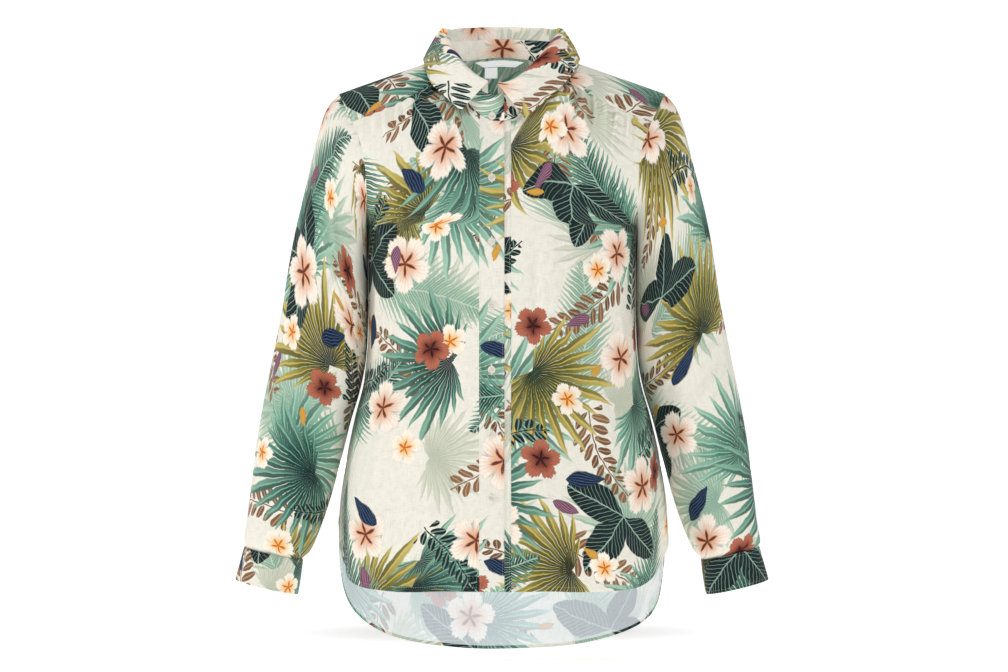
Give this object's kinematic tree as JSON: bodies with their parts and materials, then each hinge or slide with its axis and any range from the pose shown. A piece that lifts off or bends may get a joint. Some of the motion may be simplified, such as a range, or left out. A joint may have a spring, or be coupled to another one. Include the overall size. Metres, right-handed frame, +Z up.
{
  "type": "long-sleeved shirt tunic, worn form",
  "caption": "Printed button-front shirt tunic, filled out as worn and hollow, with pointed collar, yoke, cuffed sleeves and a longer curved back hem.",
  "frame": {"origin": "middle of the neck opening, level with the tops of the shoulders, where the wearer carries the garment", "axes": "+Z up, the front faces -Y, +X is the wearer's left"},
  "size_m": [0.6514, 0.2858, 0.7834],
  "materials": {
    "printed_cloth": "light plain-woven viscose, cream ground with a teal, olive, peach and rust plant print, soft low sheen",
    "label_tape": "plain white satin tape, blank",
    "pearl_resin": "polished pearl resin"
  },
  "bodies": {
    "root": {"front_right": "printed_cloth", "front_left": "printed_cloth", "placket_top": "printed_cloth", "placket_under": "printed_cloth", "back": "printed_cloth", "yoke": "printed_cloth", "sleeve_right": "printed_cloth", "sleeve_left": "printed_cloth", "cuff_right": "printed_cloth", "cuff_left": "printed_cloth", "collar_stand": "printed_cloth", "collar_leaf": "printed_cloth", "neck_label": "label_tape", "size_tab": "label_tape", "button_1": "pearl_resin", "button_2": "pearl_resin", "button_3": "pearl_resin", "button_4": "pearl_resin", "button_5": "pearl_resin", "button_6": "pearl_resin", "button_7": "pearl_resin", "cuff_button_right": "pearl_resin", "cuff_button_left": "pearl_resin"}
  },
  "joints": []
}
